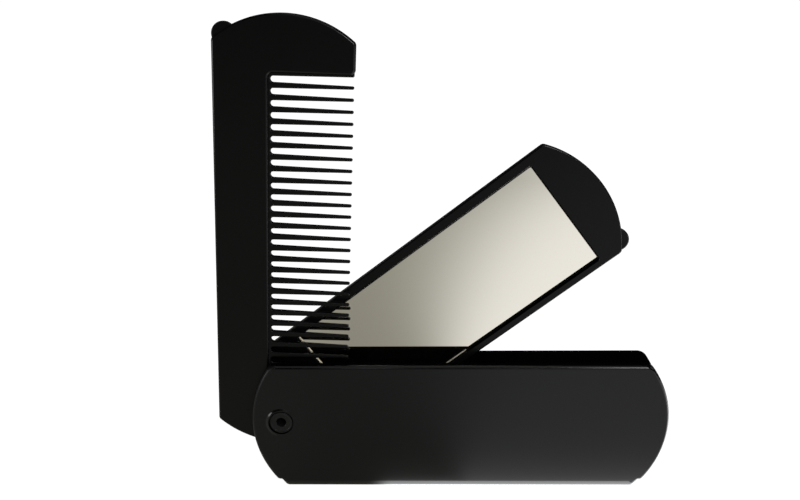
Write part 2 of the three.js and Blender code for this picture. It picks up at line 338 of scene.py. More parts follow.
@dataclass
class Piece:
    """A finished piece: its shape, its finishes, and what it stands for in the frame."""

    name: str
    body: Body
    finish: Material
    ride: Ride
    slot: str
    replaces: str
    regions: Sequence[Region] = ()

    def place(self) -> None:
        """Puts the piece in the scene in metres, with its object at the origin, and ties it to the frame."""
        mesh = self.body.mesh
        mesh.transform(Matrix.Scale(MM, 4))
        self._soften(mesh)
        mesh.name = self.name
        if not mesh.materials or mesh.materials[0] is None:
            mesh.materials.clear()
            mesh.materials.append(self.finish)
            mesh.polygons.foreach_set("material_index", [0] * len(mesh.polygons))
        for region in self.regions:
            self._paint(mesh, region)
        made = linked(self.name, mesh)
        weigh = made.modifiers.new("weigh", "WEIGHTED_NORMAL")
        weigh.keep_sharp = True
        made.data = plain_mesh(made)
        made.modifiers.clear()
        made.data.name = self.name
        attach(made, self.ride.value)
        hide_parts(self.replaces)
        LOG.info("%s: %d faces on %s", self.name, len(made.data.polygons), self.ride.value)

    @staticmethod
    def _paint(mesh: Mesh, region: Region) -> None:
        """Gives the faces of a region their finish."""
        mesh.materials.append(region.finish)
        for face in mesh.polygons:
            if region.holds(face):
                face.material_index = len(mesh.materials) - 1

    @staticmethod
    def _soften(mesh: Mesh) -> None:
        """Shades the faces smooth and keeps the edges that turn sharply."""
        form = bmesh.new()
        form.from_mesh(mesh)
        bmesh.ops.remove_doubles(form, verts=form.verts, dist=DOUBLE_LIMIT)
        for face in form.faces:
            face.smooth = True
        for edge in form.edges:
            edge.smooth = len(edge.link_faces) == 2 and edge.calc_face_angle(math.pi) < SHARP_ANGLE
        form.to_mesh(mesh)
        form.free()


# Shader graphs


class Signal:
    """A shader socket that takes part in Python expressions."""

    def __init__(self, graph: "ShaderGraph", socket: bpy.types.NodeSocket) -> None:
        """Wraps one output socket of a graph."""
        self.graph = graph
        self.socket = socket

    def math(self, operation: str, *others: Any, swap: bool = False) -> "Signal":
        """This value after one Math node.

        Args:
            operation: The Math node's operation.
            others: The other operands, as signals or numbers.
            swap: Whether this value comes last.

        Returns:
            The result as a signal.
        """
        operands = [*others, self] if swap else [self, *others]
        return self.graph.node("ShaderNodeMath", {"operation": operation}, dict(enumerate(operands)))

    def __add__(self, other: Any) -> "Signal":
        """The sum."""
        return self.math("ADD", other)

    __radd__ = __add__

    def __sub__(self, other: Any) -> "Signal":
        """The difference."""
        return self.math("SUBTRACT", other)

    def __rsub__(self, other: Any) -> "Signal":
        """The difference, from the right."""
        return self.math("SUBTRACT", other, swap=True)

    def __mul__(self, other: Any) -> "Signal":
        """The product."""
        return self.math("MULTIPLY", other)

    __rmul__ = __mul__

    def __truediv__(self, other: Any) -> "Signal":
        """The quotient."""
        return self.math("DIVIDE", other)

    def __rtruediv__(self, other: Any) -> "Signal":
        """The quotient, from the right."""
        return self.math("DIVIDE", other, swap=True)

    def __pow__(self, other: Any) -> "Signal":
        """The power."""
        return self.math("POWER", other)

    def limited(self, low: float, high: float) -> "Signal":
        """The value held between two limits."""
        return self.graph.node("ShaderNodeClamp", {}, {"Value": self, "Min": low, "Max": high})

    def smooth(self, low: float, high: float) -> "Signal":
        """A soft step from 0 at low to 1 at high."""
        settings = {"interpolation_type": "SMOOTHSTEP"}
        values = {"Value": self, "From Min": low, "From Max": high}
        return self.graph.node("ShaderNodeMapRange", settings, values)


class ShaderGraph:
    """The node tree of one material or of the world."""

    def __init__(self, tree: bpy.types.NodeTree) -> None:
        """Starts the tree afresh."""
        self.tree = tree
        tree.nodes.clear()

    def node(self, kind: str, settings: dict[str, Any], values: dict[Any, Any], out: Any = 0) -> Signal:
        """Adds a node, sets it, then fills its sockets.

        Args:
            kind: The node's type.
            settings: The node's own settings, which come first.
            values: The sockets by name or number, each with a signal or a plain value.
            out: The name or number of the output that is wanted.

        Returns:
            That output as a signal.
        """
        made = self.tree.nodes.new(kind)
        for name, value in settings.items():
            setattr(made, name, value)
        for key, value in values.items():
            socket = made.inputs[key]
            if isinstance(value, Signal):
                self.tree.links.new(value.socket, socket)
            elif socket.type == "RGBA" and len(value) == 3:
                socket.default_value = (*value, 1.0)
            else:
                socket.default_value = value
        return Signal(self, made.outputs[out]) if made.outputs else Signal(self, None)

    def coordinates(self) -> Signal:
        """Object coordinates in millimetres."""
        raw = self.node("ShaderNodeTexCoord", {}, {}, "Object")
        return self.node("ShaderNodeMapping", {}, {"Vector": raw, "Scale": [1 / MM] * 3})

    def noise(self, at: Signal, size: float, detail: float) -> Signal:
        """Noise from 0 to 1 whose lumps are about so many millimetres across."""
        return self.node("ShaderNodeTexNoise", {}, {"Vector": at, "Scale": 1 / size, "Detail": detail})

    def split(self, vector: Signal) -> tuple[Signal, Signal, Signal]:
        """A vector's three parts."""
        made = self.node("ShaderNodeSeparateXYZ", {}, {0: vector})
        outputs = made.socket.node.outputs
        return tuple(Signal(self, outputs[i]) for i in range(3))

    def blend(self, amount: Signal, low: Any, high: Any) -> Signal:
        """A colour between two colours. The Mix node's sockets share names, so they go by number."""
        factor, first, second, result = 0, 6, 7, 2
        values = {factor: amount, first: low, second: high}
        return self.node("ShaderNodeMix", {"data_type": "RGBA"}, values, result)

    def bump(self, height: Signal, depth: float) -> Signal:
        """A normal bent by a height, whose full range is so many millimetres deep."""
        return self.node("ShaderNodeBump", {}, {"Height": height, "Distance": depth * MM})

    def principled(self, values: dict[str, Any]) -> Signal:
        """A Principled shader with these values in its sockets."""
        return self.node("ShaderNodeBsdfPrincipled", {}, values)

    def finish(self, shader: Signal, output: str = "ShaderNodeOutputMaterial") -> None:
        """Links the shader to the tree's output."""
        self.node(output, {}, {"Surface": shader})


def new_material(name: str, build: Callable[[ShaderGraph], Signal]) -> Material:
    """A material whose shader is made by a function.

    Args:
        name: The material's name.
        build: Makes the shader in the graph that it is given.

    Returns:
        The material.
    """
    made = bpy.data.materials.new(name)
    made.use_nodes = True
    graph = ShaderGraph(made.node_tree)
    graph.finish(build(graph))
    return made


def scaled(colour: Colour, factor: float) -> Colour:
    """A colour made lighter or darker."""
    return tuple(part * factor for part in colour)


def grey(level: float, blue: float | None = None) -> Colour:
    """A grey, with a blue part of its own where one is given."""
    return level, level, level if blue is None else blue


# Finishes


@dataclass(frozen=True)
class Finish:
    """A finish by its name and tone. Each kind of finish has a shader of its own."""

    name: str
    tone: Colour

    def material(self) -> Material:
        """The finish as a material."""
        return new_material(self.name, self.shader)

    def shader(self, graph: ShaderGraph) -> Signal:
        """The finish's shader."""
        raise NotImplementedError

    def shaded(self, graph: ShaderGraph, amount: Signal, low: float, high: float) -> Signal:
        """The tone times a factor that runs from low to high."""
        return graph.blend(amount, scaled(self.tone, low), scaled(self.tone, high))


@dataclass(frozen=True)
class MouldedPlastic(Finish):
    """Black plastic from a finely blasted mould, with a fine grain and a slow change of sheen."""

    roughness: float = 0.3
    spread: float = 0.08
    grain_size: float = 0.2
    depth: float = 0.008
    gloss: float = 0.21
    flow_size: float = 26.0
    speckle_size: float = 1.1
    flow_share: float = 0.55
    grain_share: float = 0.8
    shades: Pair = (0.8, 1.25)

    def shader(self, graph: ShaderGraph) -> Signal:
        """The plastic's shader."""
        at = graph.coordinates()
        grain = graph.noise(at, self.grain_size, detail=3.0)
        flow = graph.noise(at, self.flow_size, detail=3.0)
        speckle = graph.noise(at, self.speckle_size, detail=4.0)
        sheen = flow * self.flow_share + speckle * (1 - self.flow_share)
        relief = grain * self.grain_share + speckle * (1 - self.grain_share)
        return graph.principled({
            "Base Color": self.shaded(graph, sheen, *self.shades),
            "Roughness": (sheen - 0.5) * self.spread + self.roughness,
            "Normal": graph.bump(relief, self.depth),
            "Specular IOR Level": self.gloss,
        })


@dataclass(frozen=True)
class PolishedPlastic(Finish):
    """The same black plastic along the edges, where the mould is polished."""

    roughness: float = 0.14
    spread: float = 0.06
    flow_size: float = 5.0
    gloss: float = 0.5
    shades: Pair = (0.85, 1.2)

    def shader(self, graph: ShaderGraph) -> Signal:
        """The polished plastic's shader, with a trace of unevenness."""
        flow = graph.noise(graph.coordinates(), self.flow_size, detail=2.0)
        return graph.principled({
            "Base Color": self.shaded(graph, flow, *self.shades),
            "Roughness": flow * self.spread + self.roughness,
            "Specular IOR Level": self.gloss,
        })


@dataclass(frozen=True)
class SilveredGlass(Finish):
    """Mirror glass, slightly warm, with a trace of haze and dust."""

    name: str = "Silvered glass"
    tone: Colour = (0.86, 0.828, 0.735)
    roughness: float = 0.012
    haze: float = 0.03
    haze_size: float = 9.0
    haze_range: Pair = (0.45, 0.75)
    dust: float = 0.04
    dust_size: float = 0.35
    dust_range: Pair = (0.62, 0.8)
    dust_tint: float = 0.25
    shades: Pair = (1.0, 0.93)

    def shader(self, graph: ShaderGraph) -> Signal:
        """The mirror's shader."""
        at = graph.coordinates()
        wiped = graph.noise(at, self.haze_size, detail=4.0).smooth(*self.haze_range)
        dust = graph.noise(at, self.dust_size, detail=2.0).smooth(*self.dust_range)
        return graph.principled({
            "Base Color": self.shaded(graph, dust * self.dust_tint, *self.shades),
            "Roughness": wiped * self.haze + dust * self.dust + self.roughness,
            "Metallic": 1.0,
        })


@dataclass(frozen=True)
class ClearPane(Finish):
    """The clear front face of the mirror glass, with a little dust on it."""

    name: str = "Clear glass face"
    tone: Colour = (0.7, 0.69, 0.65)
    veil: float = 0.001
    roughness: float = 0.3
    dust: float = 0.03
    dust_size: float = 0.3
    dust_range: Pair = (0.64, 0.8)
    shades: Pair = (1.0, 1.2)

    def shader(self, graph: ShaderGraph) -> Signal:
        """The pane's shader, which is all but see-through."""
        specks = graph.noise(graph.coordinates(), self.dust_size, detail=2.0).smooth(*self.dust_range)
        return graph.principled({
            "Base Color": self.shaded(graph, specks, *self.shades),
            "Roughness": self.roughness,
            "Alpha": specks * self.dust + self.veil,
        })


@dataclass(frozen=True)
class GroundEdge(Finish):
    """The ground edge of the mirror glass, with fine scratches across it."""

    name: str = "Ground glass edge"
    tone: Colour = (0.82, 0.83, 0.78)
    roughness: float = 0.35
    spread: float = 0.2
    scratch_size: float = 0.5
    stretch: Triple = (0.4, 6.0, 0.4)
    depth: float = 0.02
    shades: Pair = (0.75, 1.0)

    def shader(self, graph: ShaderGraph) -> Signal:
        """The edge's shader."""
        at = graph.coordinates()
        stretched = graph.node("ShaderNodeMapping", {}, {"Vector": at, "Scale": self.stretch})
        scratch = graph.noise(stretched, self.scratch_size, detail=3.0)
        return graph.principled({
            "Base Color": self.shaded(graph, scratch, *self.shades),
            "Roughness": scratch * self.spread + self.roughness,
            "Normal": graph.bump(scratch, self.depth),
        })


@dataclass(frozen=True)
class Lacquer(Finish):
    """Black lacquer on turned or rolled metal, with faint rings about the pivot."""

    roughness: float
    centre: Pair
    spread: float = 0.12
    peel_size: float = 0.6
    ring_rate: float = 42.0
    ring_share: float = 0.4
    depth: float = 0.012
    gloss: float = 0.2
    coat: float = 0.05
    coat_roughness: float = 0.15
    shades: Pair = (0.8, 1.3)

    def shader(self, graph: ShaderGraph) -> Signal:
        """The lacquer's shader."""
        at = graph.coordinates()
        x, _, z = graph.split(at)
        across, up = x - self.centre[0], z - self.centre[1]
        reach = (across * across + up * up) ** 0.5
        rings = (reach * self.ring_rate).math("SINE") * 0.5 + 0.5
        peel = graph.noise(at, self.peel_size, detail=2.0)
        relief = rings * self.ring_share + peel * (1 - self.ring_share)
        return graph.principled({
            "Base Color": self.shaded(graph, peel, *self.shades),
            "Roughness": peel * self.spread + self.roughness,
            "Specular IOR Level": self.gloss,
            "Coat Weight": self.coat,
            "Coat Roughness": self.coat_roughness,
            "Normal": graph.bump(relief, self.depth),
        })


@dataclass(frozen=True)
class FoamTape(Finish):
    """White closed-cell foam tape."""

    name: str = "Foam tape"
    tone: Colour = (0.8, 0.8, 0.76)
    cell_rate: float = 4.0
    depth: float = 0.06
    roughness: float = 0.9
    shades: Pair = (0.85, 1.0)

    def shader(self, graph: ShaderGraph) -> Signal:
        """The foam's shader, with its cells."""
        place = {"Vector": graph.coordinates(), "Scale": self.cell_rate}
        cells = graph.node("ShaderNodeTexVoronoi", {}, place, "Distance")
        return graph.principled({
            "Base Color": self.shaded(graph, cells, *self.shades),
            "Roughness": self.roughness,
            "Normal": graph.bump(cells, self.depth),
        })


# The object's sub-assemblies


@dataclass
class Layers:
    """The layers of the stack, and the place of each face, from the front of the case to its rear."""

    front_wall: float = 2.8
    comb: float = 2.4
    mirror: float = 2.7
    rear_wall: float = 1.8
    gap: float = 0.5
    glass_recess: float = 0.2
    glass: float = 1.2
    pad: float = 0.3
    washer_play: float = 0.05
    front_face: float = field(init=False)
    front_inner: float = field(init=False)
    comb_front: float = field(init=False)
    comb_back: float = field(init=False)
    mirror_front: float = field(init=False)
    mirror_back: float = field(init=False)
    glass_front: float = field(init=False)
    glass_back: float = field(init=False)
    pad_back: float = field(init=False)
    rear_inner: float = field(init=False)
    rear_face: float = field(init=False)

    def __post_init__(self) -> None:
        """Stacks the layers about the middle of the case."""
        self.front_face = -(self.front_wall + self.comb + self.mirror + self.rear_wall + 3 * self.gap) / 2
        self.front_inner = self.front_face + self.front_wall
        self.comb_front = self.front_inner + self.gap
        self.comb_back = self.comb_front + self.comb
        self.mirror_front = self.comb_back + self.gap
        self.mirror_back = self.mirror_front + self.mirror
        self.glass_front = self.mirror_front + self.glass_recess
        self.glass_back = self.glass_front + self.glass
        self.pad_back = self.glass_back + self.pad
        self.rear_inner = self.mirror_back + self.gap
        self.rear_face = self.rear_inner + self.rear_wall


@dataclass(frozen=True)
class Hinge:
    """The line that both blades turn about, their hole, and where the rivet's flange sits."""

    x: float = -46.4
    z: float = 18.55
    hole_radius: float = 2.1
    flange_seat: float = -4.75

    def place(self) -> Matrix:
        """Moves a body from the origin onto the hinge's line."""
        return Matrix.Translation((self.x, 0, self.z))

    def swing(self, opening: float) -> Matrix:
        """Moves a blade from its own frame to its place.

        Args:
            opening: How far the blade is swung out of the case, in degrees.

        Returns:
            The matrix, for a body drawn along +X from the pivot.
        """
        return self.place() @ Matrix.Rotation(-math.radians(opening), 4, "Y")


def edges(polish: Material, box: Box | None = None) -> Region:
    """All faces but the flat front and back ones."""
    return Region(polish, -FLAT_LIMIT, FLAT_LIMIT, box=box)


def around(at: Vector, reach: Vector) -> Box:
    """A box about a point that reaches so far each way."""
    return at - reach, at + reach


@dataclass
class Case:
    """The two covers, with the floor between them."""

    layers: Layers
    hinge: Hinge
    finish: Material
    polish: Material
    painted_shade: Material
    length: float = 108.0
    end_radius: float = 26.2
    top: float = 34.35
    foot_height: float = 1.8
    foot_ledge: float = 0.95
    foot_slope: float = 1.4
    foot_fillet: float = 0.45
    corner_radius: float = 1.3
    top_radius: float = 2.9
    outer_round: float = 0.9
    foot_stretch: float = 1.2
    foot_round_top: float = 0.7
    inner_round: float = 0.35
    # At the rivet's end the edges above this height and left of this X are matte.
    matte_from: float = 10.0
    matte_to: float = -46.0
    # Faces that look inwards by more than this, or straight up within these limits, get painted shade: a
    # darker black that reflects nothing.
    inner_lean: float = 0.06
    top_lean: float = 0.05
    top_rise: float = 0.9
    floor_thickness: float = 1.3
    tongue_height: float = 0.4
    tongue_depth: float = 0.7
    tongue_inset: float = 6.0
    tongue_clearance: float = 0.1
    seat_radius: float = 3.25
    bead_radius: float = 4.15
    bead_angle: float = 154.0
    bead_crest: float = 0.06
    bead_height: float = 0.335
    bead_sink: float = 0.012
    bead_overlap: float = 0.3
    bead_margin: float = 0.2
    bead_steps: int = 14
    backing_seat: float = 4.6
    backing_radius: float = 4.35
    arc_steps: int = 22

    @property
    def foot_half(self) -> float:
        """Half the foot's length."""
        down = math.asin((self.hinge.z - self.foot_height) / self.end_radius)
        arc_end = self.length / 2 - self.end_radius + self.end_radius * math.cos(down)
        return arc_end - self.foot_ledge - self.foot_slope

    def build(self) -> None:
        """Makes the covers, matte at the rivet's end, with painted shade inside and on their top faces, and
        puts them in place.
        """
        far = self.length
        rivet_end = Vector((-far, -far, self.matte_from)), Vector((self.matte_to, far, far))
        pivot = Vector((self.hinge.x, 0, self.hinge.z))
        beside_rivet = around(pivot, Vector((1, 2, 1)) * (self.bead_radius + self.bead_margin))
        shared = (edges(self.polish), Region(self.finish, box=rivet_end), edges(self.polish, beside_rivet))
        # Painted shade: the top faces and the faces inside the slot get a darker black that reflects nothing.
        top = Region(self.painted_shade, -self.top_lean, self.top_lean, self.top_rise)
        front_inside = Region(self.painted_shade, low=self.inner_lean)
        rear_inside = Region(self.painted_shade, high=-self.inner_lean)
        self._place("front_cover", self._front(), (*shared, front_inside, top))
        self._place("rear_cover", self._rear(), (*shared, rear_inside, top))

    def _place(self, node: str, body: Body, regions: Sequence[Region]) -> None:
        """Puts one cover in place of its solid."""
        Piece(node + "_shell", body, self.finish, Ride.CASE, "case_plastic", node, regions).place()

    def _side_view(self) -> list[Vector]:
        """Side view of a cover: a straight top, shallow round ends, and a foot below them."""
        centre = self.length / 2 - self.end_radius
        up = math.asin((self.top - self.hinge.z) / self.end_radius)
        down = math.asin((self.hinge.z - self.foot_height) / self.end_radius)
        ledge = self.foot_half + self.foot_slope
        right, left = Vector((centre, self.hinge.z)), Vector((-centre, self.hinge.z))
        rounds = self.corner_radius, self.top_radius
        return outline([
            Corner(-self.foot_half, 0, self.corner_radius),
            Corner(self.foot_half, 0, self.corner_radius),
            Corner(ledge, self.foot_height, self.foot_fillet),
            *arc(right, self.end_radius, -down, up, self.arc_steps, rounds),
            *arc(left, self.end_radius, math.pi - up, math.pi + down, self.arc_steps, rounds[::-1]),
            Corner(-ledge, self.foot_height, self.foot_fillet),
        ])

    def _foot_share(self, at: Vector) -> float:
        """The factor on the outer edge's inset at a point: more along the foot, where its round is taller."""
        rise = min(1.0, max(0.0, at.y / self.foot_round_top))
        return 1 + self.foot_stretch * (1 - rise * rise * (3 - 2 * rise))

    def _tongue(self, grow: float) -> Body:
        """The rib along the floor's front edge, or its groove when grown by a clearance."""
        reach = self.foot_half - self.tongue_inset + grow
        bottom = (self.floor_thickness - self.tongue_height) / 2 - grow
        low = (-reach, self.layers.front_inner - self.tongue_depth - grow, bottom)
        high = (reach, self.layers.front_inner + OVERLAP, bottom + self.tongue_height + 2 * grow)
        return Body.block(low, high)

    def _front(self) -> Body:
        """The front cover, with a dished seat for the rivet's flange."""
        face, inner = self.layers.front_face, self.layers.front_inner
        slab = Body.plate(self._side_view(), [
            *rounded_edge(face, self.outer_round, Side.FRONT),
            *rounded_edge(inner, self.inner_round, Side.BACK, SMALL_ROUND_STEPS),
        ], self._foot_share)
        place = self.hinge.place()
        bead = self._bead(face).moved(place)
        seat = Body.bar(self.seat_radius, face - OVERLAP, self.hinge.flange_seat).moved(place)
        hole = Body.bar(self.hinge.hole_radius, face, inner + OVERLAP).moved(place)
        return slab.join(bead).cut(seat).cut(hole).cut(self._tongue(self.tongue_clearance))

    def _bead(self, face: float) -> Body:
        """The low bead beside the rivet's seat, which rises on one side of it and sinks away on the other."""
        body = Body.turned(self._bead_profile(face))
        level = face + self.bead_sink
        for point in body.mesh.vertices:
            lean = math.atan2(point.co.z, point.co.x) - math.radians(self.bead_angle)
            if point.co.y < level:
                point.co.y = level + (point.co.y - level) * ((1 + math.cos(lean)) / 2) ** 2
        return body

    def _bead_profile(self, face: float) -> list[Pair]:
        """Section of the bead where it is highest: a level crest and a soft outer flank."""
        inner, crest = self.seat_radius - self.bead_overlap, self.seat_radius + self.bead_crest
        points = [(inner, face + self.bead_overlap), (inner, face - self.bead_height)]
        for i in range(self.bead_steps + 1):
            share = i / self.bead_steps
            height = self.bead_height * (1 + math.cos(math.pi * share)) / 2 - self.bead_sink
            points.append((crest + (self.bead_radius - crest) * share, face - height))
        return [*points, (self.bead_radius, face + self.bead_overlap)]

    def _rear(self) -> Body:
        """The rear cover, which carries the floor and its tongue."""
        face, inner = self.layers.rear_face, self.layers.rear_inner
        slab = Body.plate(self._side_view(), [
            *rounded_edge(inner, self.inner_round, Side.FRONT, SMALL_ROUND_STEPS),
            *rounded_edge(face, self.outer_round, Side.BACK),
        ])
        end = self.foot_half + self.foot_slope * self.floor_thickness / self.foot_height
        floor = Body.plate(outline([
            Corner(-self.foot_half, 0, self.corner_radius),
            Corner(self.foot_half, 0, self.corner_radius),
            Corner(end, self.floor_thickness),
            Corner(-end, self.floor_thickness),
        ]), [(0, self.layers.front_inner), (0, inner + self.inner_round)])
        counterbore = Body.bar(self.backing_radius, self.backing_seat, face + OVERLAP)
        hole = Body.bar(self.hinge.hole_radius, inner - OVERLAP, face)
        place = self.hinge.place()
        whole = slab.join(floor).join(self._tongue(0))
        return whole.cut(counterbore.moved(place)).cut(hole.moved(place))


@dataclass
class Pivot:
    """The tubular rivet with its backing washer and the friction washers between the layers."""

    layers: Layers
    hinge: Hinge
    rivet_finish: Material
    washer_finish: Material
    nylon_finish: Material
    bore: float = 1.25
    bore_lip: float = 0.2
    shank: float = 2.0
    flange: float = 2.95
    cup_radius: float = 2.3
    cup_depth: float = 0.15
    head_crest: float = 2.75
    head_height: float = 0.8
    tail: float = 3.1
    tail_crest: float = 2.2
    tail_height: float = 0.55
    tail_seat: float = 5.0
    backing_radius: float = 4.2
    backing_thickness: float = 0.4
    friction_radius: float = 6.0
    washer_hole: float = 2.15
    edge_break: float = 0.06
    lip_steps: int = 6
    rise_steps: int = 10
    roll_steps: int = 16

    def build(self) -> None:
        """Makes the rivet and the washers and puts them in place."""
        seat = self.tail_seat
        backing = self._washer(self.backing_radius, seat - self.backing_thickness, seat)
        self._place("rivet", self._rivet(), self.rivet_finish, "rivet_metal", "pivot_rivet")
        self._place("backing_washer", backing, self.washer_finish, "washer_metal", "rivet_backing_washer")
        layers, play = self.layers, self.layers.washer_play
        behind = {"front": layers.front_inner, "middle": layers.comb_back, "rear": layers.mirror_back}
        for name, start in behind.items():
            washer = self._washer(self.friction_radius, start + play, start + layers.gap - play)
            node = name + "_friction_washer"
            self._place(name + "_spacer", washer, self.nylon_finish, "washer_nylon", node)

    def _place(self, name: str, body: Body, finish: Material, slot: str, node: str) -> None:
        """Puts one turned piece on the hinge's line."""
        Piece(name, body.moved(self.hinge.place()), finish, Ride.CASE, slot, node).place()

    def _flange(self) -> list[Pair]:
        """Section of the flange, from the bore over a rounded lip and a level ring to a raised rim."""
        seat = self.hinge.flange_seat
        rim = seat - self.head_height
        ring, lip, reach = rim + self.cup_depth, self.bore_lip, self.flange - self.head_crest
        curve = quarter(self.lip_steps)
        points = [(self.bore, seat)]
        points += [(self.bore + lip * (1 - cosine), ring + lip * (1 - sine)) for sine, cosine in curve]
        for i in range(self.rise_steps + 1):
            share = i / self.rise_steps
            rise = (1 - math.cos(math.pi * share)) / 2
            radius = self.cup_radius + (self.head_crest - self.cup_radius) * share
            points.append((radius, ring + (rim - ring) * rise))
        points += [(self.head_crest + reach * sine, rim + reach * (1 - cosine)) for sine, cosine in curve[1:]]
        return [*points, (self.flange, seat)]

    def _tail(self) -> list[Pair]:
        """Section of the rolled tail, from the bore over its crest to its edge."""
        points = []
        for i in range(self.roll_steps + 1):
            angle = math.pi * i / self.roll_steps
            reach = self.tail_crest - self.bore if i * 2 < self.roll_steps else self.tail - self.tail_crest
            height = self.tail_seat + self.tail_height * math.sin(angle)
            points.append((self.tail_crest - reach * math.cos(angle), height))
        return points

    def _rivet(self) -> Body:
        """The rivet: a cupped flange in front, a hollow shank, and a tail rolled out behind."""
        shank = [(self.shank, self.hinge.flange_seat), (self.shank, self.tail_seat)]
        return Body.turned([*self._flange(), *shank, *reversed(self._tail())])

    def _washer(self, outer: float, low: float, high: float) -> Body:
        """A flat washer round the shank, with its edges broken."""
        inner, cut = self.washer_hole, self.edge_break
        return Body.turned([
            (inner, low + cut), (inner + cut, low), (outer - cut, low), (outer, low + cut),
            (outer, high - cut), (outer - cut, high), (inner + cut, high), (inner, high - cut),
        ])


@dataclass
class Blade:
    """What the comb and the mirror share: a plate between two shallow arcs, and a thumb nub."""

    layers: Layers
    hinge: Hinge
    finish: Material
    polish: Material
    half_width: float = 17.0
    heel: float = 7.6
    front_round: float = 0.6
    edge_round: float = 0.6
    corner_radius: float = 1.2
    nub_radius: float = 2.9
    nub_thickness: float = 1.5
    nub_sink: float = 1.1
    nub_round: float = 0.35
    arc_steps: int = 48
    nub_steps: int = 56

    def _ends(self, reach: float, radius: float) -> list[Corner]:
        """Corners of a blade's two end arcs, the far end first."""
        half = math.asin(self.half_width / radius)
        far, near = Vector((reach - radius, 0)), Vector((radius - self.heel, 0))
        rounds = self.corner_radius, self.corner_radius
        return [
            *arc(far, radius, -half, half, self.arc_steps, rounds),
            *arc(near, radius, math.pi - half, math.pi + half, self.arc_steps, rounds),
        ]

    def _slab(self, points: Sequence[Vector], front: float, back: float) -> Body:
        """A plate with all its edges rounded."""
        return Body.plate(points, [
            *rounded_edge(front, self.front_round, Side.FRONT),
            *rounded_edge(back, self.edge_round, Side.BACK),
        ])

    def _nub(self, reach: float, radius: float, side: int, middle: float) -> Body:
        """The nub on a blade's far arc, sunk into it and flush with the long side given by its sign."""
        offset = self.half_width - self.nub_radius
        centre = reach - radius + math.sqrt(radius ** 2 - offset ** 2) - self.nub_sink
        whole = 2 * math.pi
        start = whole / self.nub_steps
        corners = arc(Vector((centre, side * offset)), self.nub_radius, start, whole, self.nub_steps - 1)
        return Body.plate(outline(corners), [
            *rounded_edge(middle - self.nub_thickness / 2, self.nub_round, Side.FRONT, SMALL_ROUND_STEPS),
            *rounded_edge(middle + self.nub_thickness / 2, self.nub_round, Side.BACK, SMALL_ROUND_STEPS),
        ])

    def _hole(self, front: float, back: float) -> Body:
        """The cutter for the pivot's hole."""
        return Body.bar(self.hinge.hole_radius, front - OVERLAP, back + OVERLAP)


